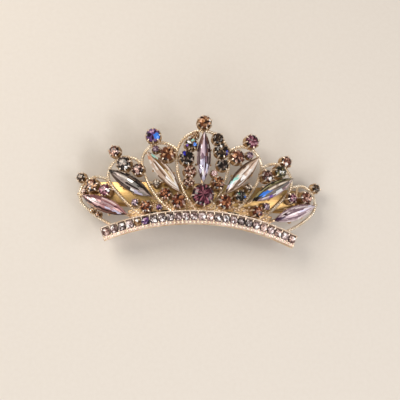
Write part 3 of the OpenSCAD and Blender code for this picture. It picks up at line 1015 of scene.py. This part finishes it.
def make_row(rng):
    """The band's row of stones, nearly square, each with one white flash painted as a glint."""
    shapes, colours = [], []
    for angle, tone in zip(row_places()[0], BAND_ROW):
        seat = band_seat(ROW_R, angle, ROW_FLOOR + 0.05)
        flash = (rng.uniform(0, 360), 0.55, rng.uniform(0.15, 0.4), "white")
        shape, tones = round_cut(ROW_STONE, seat, 0, tone, (flash,), rng, cushion=0.8)
        shapes.append(shape)
        colours.append(tones)
    glass_piece("cut_band_stones", "band_stones", joined(shapes), np.concatenate(colours))


def rod(start, end, w, radius, angle):
    """A short rod with rounded ends over the band, from one radius of the band to another."""
    line = on_band(np.linspace(start, end, 5), angle, w)
    return tube(line, head_out(line), radius * np.array([0.55, 1, 1, 1, 0.55]))


def make_rods():
    """Between two of the band's stones a rod across the groove, and a claw from each side of it."""
    # start, end, height, radius
    rods = (
        (ROW_LOW, ROW_HIGH, BAND_FACE - 0.6, 0.14),
        (ROW_LOW - 0.1, ROW_R - 0.62, BAND_FACE + 0.02, 0.24),
        (LEDGE + 0.1, ROW_R + 0.6, BAND_FACE - 0.05, 0.18),
    )
    places, step = row_places()
    gaps = np.append(places - step / 2, places[-1] + step / 2)
    gold_piece("band_claws", joined([rod(*row, angle) for angle in gaps for row in rods]), 60, PALE_GOLD)


def make_feet():
    """The plates that fill the petals' feet. Over a slot there is only a bar, with a floor under it painted
    dark as the shadow in the slot.
    """
    shapes, chosen = [], []
    # From left to right, plain stretches and slots take turns
    ends = [-FEET_END, *(angle for slot in SLOTS for angle in slot), FEET_END]
    for k, (low, high) in enumerate(zip(ends, ends[1:])):
        slot = k % 2 == 1
        foot = SLOT_BAR if slot else FEET_LOW
        # radius, height
        plate = (
            (FEET_TOP - 0.1, -0.4),
            (FEET_TOP, -0.3),
            (FEET_TOP, 0.3),
            (FEET_TOP - 0.1, 0.4),
            (foot, 0.3),
            (foot, -0.4),
        )
        shapes.append(band_loft(plate, low, high, 24))
        chosen.append(0)
        if slot:
            edge = SLOT_BAR + 0.05
            recess = ((edge, -0.4), (edge, -0.25), (FEET_LOW, -0.25), (FEET_LOW, -0.4))
            shapes.append(band_loft(recess, low, high, 24))
            chosen.append(1)
    chosen = np.repeat(chosen, [face_count(shape) for shape in shapes])
    gold_piece("petal_feet", joined(shapes), 30, FEET_SHADE, SLOT_SHADOW, chosen=chosen)


def stone_plans():
    """The plan place and radius of every round stone."""
    rows = [(plan_x(petal, u), v, width / 2) for petal, u, v, width, _ in SMALL_STONES]
    for name, (petal, *_) in ROUND_STONES.items():
        (origin, _), width = node_seat(name, petal)
        rows.append((origin[0], origin[1] + MIDDLE_V, width / 2))
    return np.array(rows)


def make_grains(rng):
    """The gold grains on the feet's plates and round the cups. Of the places that are drawn, those stay that
    are clear of the slots and the stones, lie on a plate or at a cup, and hardly touch an earlier grain."""
    stones = stone_plans()
    end = FEET_END - 0.3
    angle = rng.uniform(-end, end, GRAIN_TRIES)
    radius = rng.uniform(BAND_TOP + 0.2, BAND_TOP + 3.4, GRAIN_TRIES)
    size = rng.uniform(GRAIN_MIN, GRAIN_MAX, GRAIN_TRIES)
    spots = np.stack([radius * np.sin(np.radians(angle)), BAND_V + radius * np.cos(np.radians(angle))], 1)
    over_slot = np.any([(angle > low - 0.3) & (angle < high + 0.3) for low, high in SLOTS], axis=0)
    free = ~(over_slot & (radius < SLOT_BAR + 0.45))
    kept = []
    for spot, grain, r in zip(spots[free], size[free], radius[free]):
        gap = (np.hypot(*(stones[:, :2] - spot).T) - stones[:, 2] - grain).min()
        others = np.array(kept).reshape(-1, 3)
        crowded = np.any(np.hypot(*(others[:, :2] - spot).T) - others[:, 2] - grain < -GRAIN_OVERLAP)
        carried = r < FEET_TOP - 0.1 or gap < GRAIN_REACH
        if gap > GRAIN_CLEAR and carried and not crowded:
            kept.append((*spot, grain))
    grains = [ball(on_head(x, v, 0.3 + grain * 0.5), grain) for x, v, grain in kept]
    bright = np.repeat(rng.random(len(grains)) < 0.6, face_count(grains[0]))
    gold_piece("gold_grains", joined(grains), 60, DEEP_GOLD, PALE_GOLD, chosen=bright)


def make_bars():
    """The short bars that join cups to wires."""
    share = np.linspace(0, 1, 8)
    shapes = []
    for petal, u1, v1, u2, v2 in BARS:
        line = on_head(plan_x(petal, u1 + (u2 - u1) * share), v1 + (v2 - v1) * share)
        shapes.append(tube(line, head_out(line), BAR_R))
    gold_piece("bars", joined(shapes), 40, DEEP_GOLD)


def bent(corners, radius, steps=8):
    """A line through corners in x and z, each rounded by an arc that starts and ends on its two sides."""
    corners = np.array(corners, float)
    share = np.linspace(0, 1, steps)[:, None]
    line = [corners[0]]
    for before, corner, after in zip(corners, corners[1:], corners[2:]):
        back, on = unit(before - corner), unit(after - corner)
        half = np.arccos(np.clip(back @ on, -1, 1)) / 2
        middle = corner + unit(back + on) * radius / np.sin(half)
        start = corner + back * radius / np.tan(half) - middle
        end = corner + on * radius / np.tan(half) - middle
        line += list(middle + radius * unit(start * (1 - share) + end * share))
    line.append(corners[-1])
    return np.array(line)


def clasp_line():
    """The clasp's side view in x and z, along the middle of its strip: the hook, the flat tongue, the fold at
    the left, the curved strip under the crown, and the catch at the right."""
    half_t = CLASP_T / 2
    strip_r = HEAD_R - WIRE_T / 2 - CLASP_GAP - half_t
    end_angle = np.arcsin(CLASP_HALF / strip_r)
    end_z = FACE_Z - HEAD_R + strip_r * np.cos(end_angle)
    arc = np.linspace(-end_angle, end_angle, 60)
    strip = np.stack([strip_r * np.sin(arc), FACE_Z - HEAD_R + strip_r * np.cos(arc)], 1)
    fold_r = (end_z - half_t) / 2
    turn = np.linspace(-np.pi / 2, -3 * np.pi / 2, 20)[1:-1]
    fold = np.stack([-CLASP_HALF + fold_r * np.cos(turn), end_z - fold_r + fold_r * np.sin(turn)], 1)
    tongue = np.stack([np.linspace(19, -CLASP_HALF, 40), np.full(40, half_t)], 1)
    hook = bent([(27.7, CATCH_Z + 1), (25.8, CATCH_Z + 1), (25.8, half_t), (20, half_t)], 0.42)
    wall_x = CLASP_HALF - half_t
    catch = bent([strip[-2], (wall_x, end_z - 0.1), (wall_x, CATCH_Z), (27.4, CATCH_Z)], 0.4)
    return np.concatenate([hook, tongue, fold, strip[:-2], catch])


def make_clasp():
    """The clasp: one strip with rounded edges, carried along its side view."""
    low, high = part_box("clasp")
    middle_y = (high.y + low.y) / 2 / MM
    half_w = (high.y - low.y) / MM / 2
    side = clasp_line()
    line = even(np.stack([side[:, 0], np.full(len(side), middle_y), side[:, 1]], 1), 0.35)
    across = np.array([0, 1.0, 0])
    out = np.cross(unit(np.gradient(line, axis=0)), across)
    turn = np.radians([0, 45, 90])
    corner = np.array([half_w, CLASP_T / 2]) - CLASP_EDGE
    quarter = corner + CLASP_EDGE * np.stack([np.cos(turn), np.sin(turn)], 1)
    section = np.concatenate([
        quarter, (quarter * [-1, 1])[::-1], quarter * [-1, -1], (quarter * [1, -1])[::-1],
    ])
    rings = line[:, None] + section[None, :, :1] * across + section[None, :, 1:] * out[:, None]
    piece("clasp_strip", "clasp", lofted(rings), 40, CLASP_GOLD)


def make_floor():
    """A wide plain floor."""
    half = 3000.0
    cells = 8
    ticks = np.linspace(-half, half, cells + 1)
    x, y = np.meshgrid(ticks, ticks, indexing="ij")
    points = np.stack([x, y, 0 * x], -1).reshape(-1, 3)
    i, j = np.divmod(np.arange(cells ** 2), cells)
    near, far = i * (cells + 1) + j, (i + 1) * (cells + 1) + j
    mesh = bpy.data.meshes.new("floor")
    mesh.from_pydata((points * MM).tolist(), [], np.stack([near, far, far + 1, near + 1], 1).tolist())
    mesh.materials.append(floor_finish())
    floor = bpy.data.objects.new("floor", mesh)
    bpy.context.scene.collection.objects.link(floor)


def aimed(name, data, place, target, roll=0.0):
    """An object at a place, in millimetres, that looks at a target, rolled about its view in degrees."""
    made = bpy.data.objects.new(name, data)
    bpy.context.scene.collection.objects.link(made)
    back = unit(np.array(place, float) - np.array(target, float))
    level = unit(np.cross([0, 1.0, 0], back))
    upright = np.cross(back, level)
    turn = np.radians(roll)
    columns = np.eye(4)
    columns[:3, 0] = level * np.cos(turn) + upright * np.sin(turn)
    columns[:3, 1] = upright * np.cos(turn) - level * np.sin(turn)
    columns[:3, 2] = back
    columns[:3, 3] = np.array(place) * MM
    made.matrix_world = Matrix(columns.tolist())
    return made


def make_light(name, place, size, power, tone="#ffffff"):
    """A soft square lamp that looks at the crown."""
    data = bpy.data.lights.new(name, "AREA")
    data.size = size * MM
    data.energy = power
    data.color = linear(tone)
    aimed(name, data, place, CROWN_MIDDLE)


def make_studio():
    """Even pale light all round, with a key, a fill, a low lamp and a ring of small ones for the sparkle."""
    world = bpy.data.worlds.new("studio")
    bpy.context.scene.world = world
    world.use_nodes = True
    sky = world.node_tree.nodes["Background"].inputs
    sky["Color"].default_value = rgba("#e9e4df")
    sky["Strength"].default_value = 0.27
    make_light("key", (-250, 170, 270), 240, 1.1, "#fff6ea")
    make_light("fill", (280, -60, 250), 240, 0.6, "#fbf6f4")
    make_light("low", (-60, -300, 160), 160, 0.4)
    for k, (away, height) in enumerate(SPARKS):
        turn = np.radians(20 + 360 * k / len(SPARKS))
        place = (away * np.cos(turn), away * np.sin(turn), height)
        make_light(f"spark_{k}", place, size=20, power=0.035)


def make_camera():
    """The photograph's view: from a little to the left and below, looking down at the lying crown."""
    data = bpy.data.cameras.new("camera")
    data.lens = 81.0
    data.sensor_width = 36.0
    data.shift_x = -0.0055
    data.shift_y = -0.0265
    data.clip_start = 0.005
    camera = aimed("camera", data, place=(-27.0, -46.5, 255.1), target=(0.27, -2.65, 8), roll=1.6)
    bpy.context.scene.camera = camera
    bpy.context.scene.view_settings.view_transform = "Standard"


make_camera()
make_studio()
make_floor()
seeded = np.random.default_rng(7)
make_petals()
make_rounds(seeded)
make_small_stones(seeded)
make_navettes(seeded)
make_channel()
make_rims()
make_row(seeded)
make_rods()
make_feet()
make_grains(seeded)
make_bars()
make_clasp()

bpy.context.view_layer.update()
